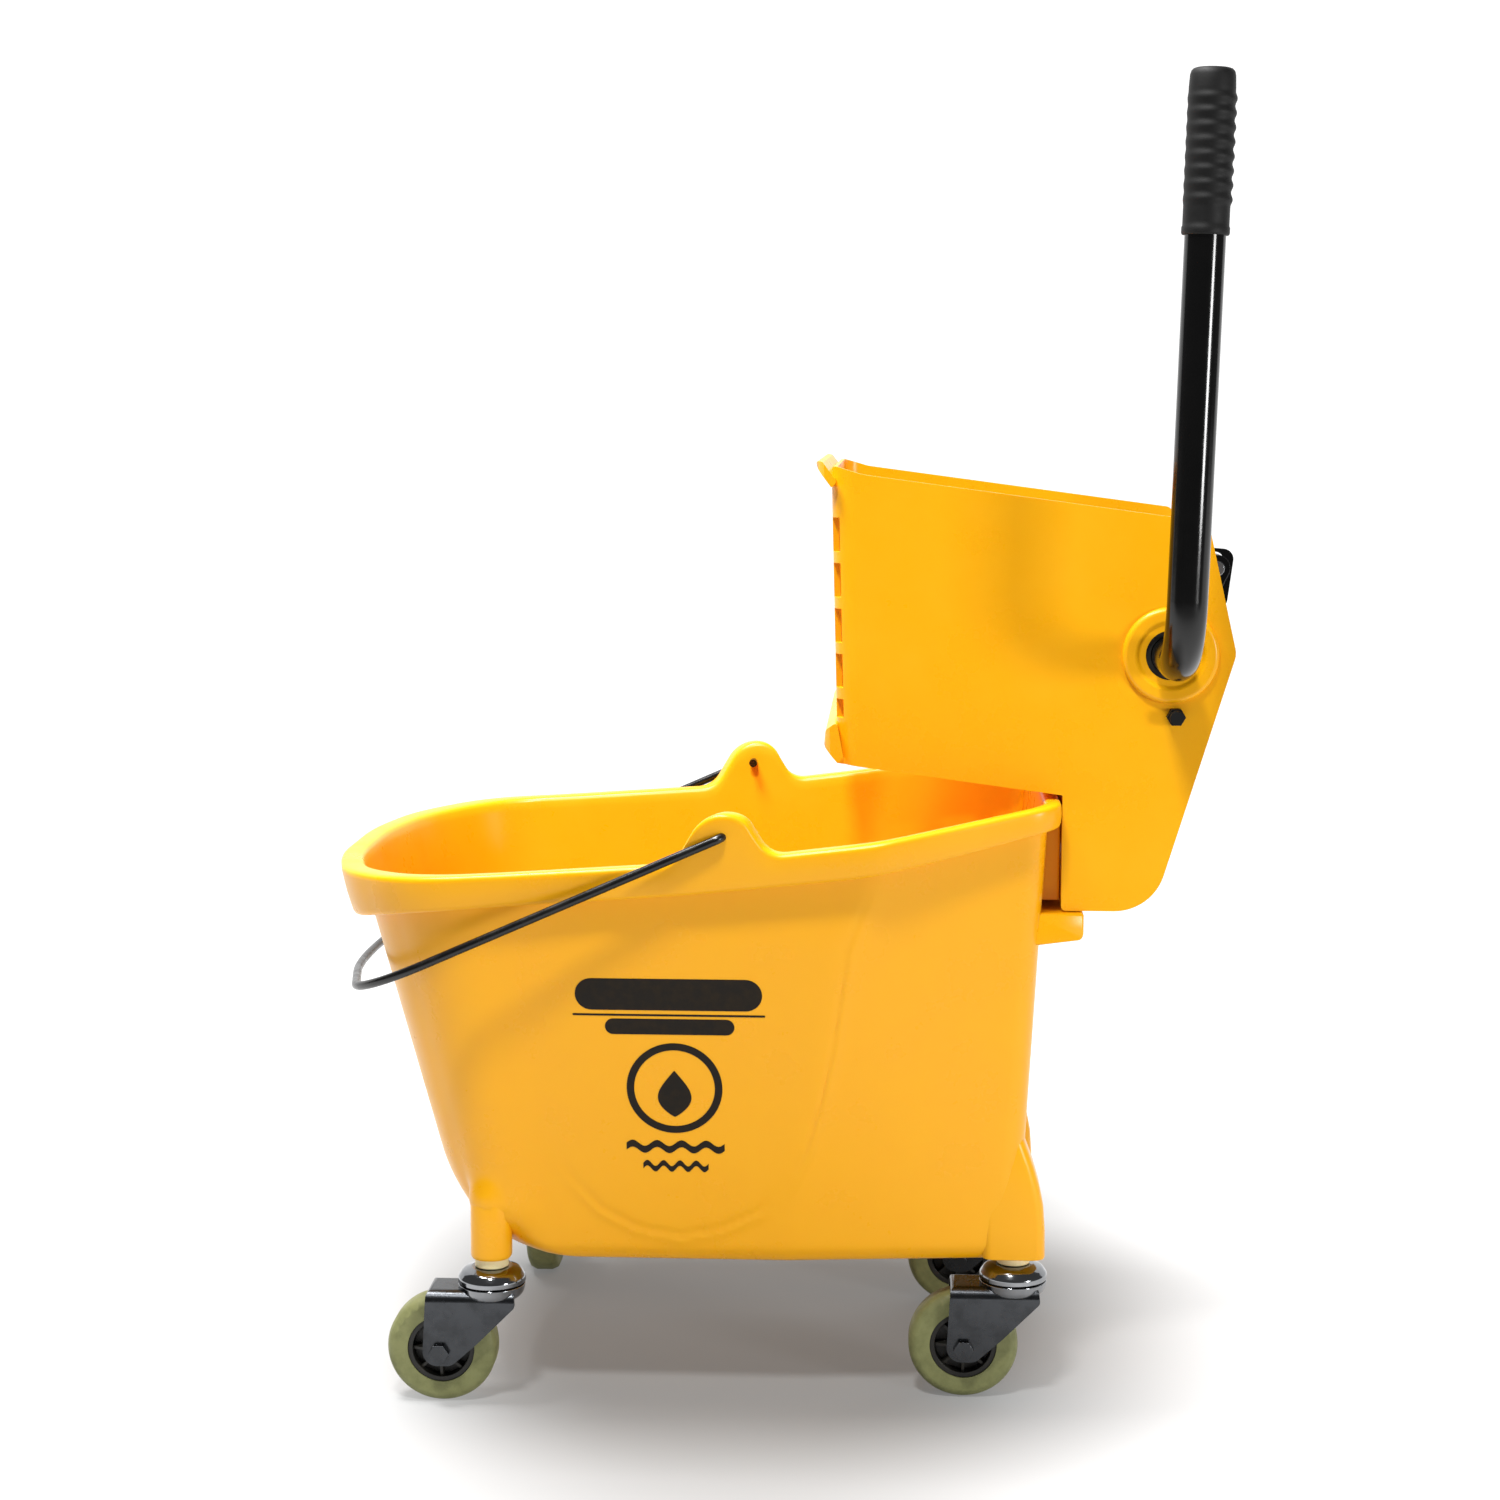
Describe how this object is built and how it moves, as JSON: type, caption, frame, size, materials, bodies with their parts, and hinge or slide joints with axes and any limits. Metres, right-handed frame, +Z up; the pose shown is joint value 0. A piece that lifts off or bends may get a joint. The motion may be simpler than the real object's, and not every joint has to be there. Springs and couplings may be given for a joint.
{
  "type": "mop bucket with side-press wringer",
  "caption": "Wheeled mop bucket with a carrying bail and a lift-off side-press wringer worked by a tall bent-tube lever; the casters swivel and roll.",
  "frame": {"origin": "centre of the whole object's box, on the floor that the wheels stand on", "axes": "+X from the pouring end to the wringer end, +Y from the lever side to the far side, +Z up"},
  "size_m": [0.614, 0.426, 0.8813],
  "materials": {
    "yellow_plastic": "satin moulded",
    "chrome": "polished",
    "ball_steel": "ground",
    "zinc_steel": "zinc plated",
    "cream_nylon": "natural nylon",
    "olive_rubber": "matte",
    "dark_plastic": "matte",
    "black_wire": "gloss",
    "spring_steel": "oiled",
    "black_enamel": "gloss",
    "black_grip": "matte",
    "black_cap": "matte"
  },
  "bodies": {
    "bucket": {"bucket_tub": "yellow_plastic", "caster_stem_front_near": "chrome", "stem_sleeve_front_near": "cream_nylon", "caster_stem_front_far": "chrome", "stem_sleeve_front_far": "cream_nylon", "caster_stem_rear_near": "chrome", "stem_sleeve_rear_near": "cream_nylon", "caster_stem_rear_far": "chrome", "stem_sleeve_rear_far": "cream_nylon"},
    "swivel_front_near": {"fork_front_near": "zinc_steel", "swivel_cup_front_near": "chrome", "swivel_balls_front_near": "ball_steel", "axle_bolt_front_near": "zinc_steel", "axle_nut_front_near": "zinc_steel"},
    "wheel_front_near": {"tyre_front_near": "olive_rubber", "wheel_hub_front_near": "dark_plastic"},
    "swivel_front_far": {"fork_front_far": "zinc_steel", "swivel_cup_front_far": "chrome", "swivel_balls_front_far": "ball_steel", "axle_bolt_front_far": "zinc_steel", "axle_nut_front_far": "zinc_steel"},
    "wheel_front_far": {"tyre_front_far": "olive_rubber", "wheel_hub_front_far": "dark_plastic"},
    "swivel_rear_near": {"fork_rear_near": "zinc_steel", "swivel_cup_rear_near": "chrome", "swivel_balls_rear_near": "ball_steel", "axle_bolt_rear_near": "zinc_steel", "axle_nut_rear_near": "zinc_steel"},
    "wheel_rear_near": {"tyre_rear_near": "olive_rubber", "wheel_hub_rear_near": "dark_plastic"},
    "swivel_rear_far": {"fork_rear_far": "zinc_steel", "swivel_cup_rear_far": "chrome", "swivel_balls_rear_far": "ball_steel", "axle_bolt_rear_far": "zinc_steel", "axle_nut_rear_far": "zinc_steel"},
    "wheel_rear_far": {"tyre_rear_far": "olive_rubber", "wheel_hub_rear_far": "dark_plastic"},
    "bail": {"bail_wire": "black_wire"},
    "wringer": {"wringer_housing": "yellow_plastic", "tie_rod": "zinc_steel", "tie_rod_nuts": "black_cap", "shaft_bush_near": "dark_plastic", "shaft_bush_far": "dark_plastic", "return_spring_near": "spring_steel", "return_spring_far": "spring_steel"},
    "lever": {"lever_tube": "black_enamel", "lever_grip": "black_grip", "shaft_cap": "black_cap", "crank_near": "black_enamel", "crank_far": "black_enamel", "crank_pin_near": "ball_steel", "crank_pin_far": "ball_steel"},
    "press": {"press_plate": "yellow_plastic", "yoke_near": "black_enamel", "yoke_far": "black_enamel"}
  },
  "joints": [
    {"name": "swivel_turn_front_near", "type": "hinge", "parent": "bucket", "child": "swivel_front_near", "pos_m": [-0.19002, -0.1085, 0.0825], "axis": [0, 0, 1], "continuous": true},
    {"name": "wheel_roll_front_near", "type": "hinge", "parent": "swivel_front_near", "child": "wheel_front_near", "pos_m": [-0.22402, -0.1085, 0.0375], "axis": [0, 1, 0], "continuous": true},
    {"name": "swivel_turn_front_far", "type": "hinge", "parent": "bucket", "child": "swivel_front_far", "pos_m": [-0.19002, 0.1415, 0.0825], "axis": [0, 0, 1], "continuous": true},
    {"name": "wheel_roll_front_far", "type": "hinge", "parent": "swivel_front_far", "child": "wheel_front_far", "pos_m": [-0.19002, 0.1755, 0.0375], "axis": [1, 0, 0], "continuous": true},
    {"name": "swivel_turn_rear_near", "type": "hinge", "parent": "bucket", "child": "swivel_rear_near", "pos_m": [0.16658, -0.0815, 0.0825], "axis": [0, 0, 1], "continuous": true},
    {"name": "wheel_roll_rear_near", "type": "hinge", "parent": "swivel_rear_near", "child": "wheel_rear_near", "pos_m": [0.13258, -0.0815, 0.0375], "axis": [0, 1, 0], "continuous": true},
    {"name": "swivel_turn_rear_far", "type": "hinge", "parent": "bucket", "child": "swivel_rear_far", "pos_m": [0.16658, 0.1145, 0.0825], "axis": [0, 0, 1], "continuous": true},
    {"name": "wheel_roll_rear_far", "type": "hinge", "parent": "swivel_rear_far", "child": "wheel_rear_far", "pos_m": [0.13258, 0.1145, 0.0375], "axis": [0, 1, 0], "continuous": true},
    {"name": "bail_swing", "type": "hinge", "parent": "bucket", "child": "bail", "pos_m": [-0.02702, 0.0165, 0.4025], "axis": [0, 1, 0], "range_deg": [0, 120]},
    {"name": "wringer_lift", "type": "slide", "parent": "bucket", "child": "wringer", "axis": [0, 0, 1], "range_m": [0, 0.11]},
    {"name": "lever_pivot", "type": "hinge", "parent": "wringer", "child": "lever", "pos_m": [0.26298, 0.0165, 0.5155], "axis": [0, -1, 0], "range_deg": [0, 70], "stiffness_Nm_per_rad": 2, "springref_deg": -20.05, "deforming": ["return_spring_near", "return_spring_far"]},
    {"name": "press_slide", "type": "slide", "parent": "wringer", "child": "press", "axis": [-0.9919, 0, 0.1271], "range_m": [0, 0.0715]}
  ],
  "couplings": [
    {"joint": "press_slide", "follows": "lever_pivot", "m_per_rad": 0.0584}
  ]
}
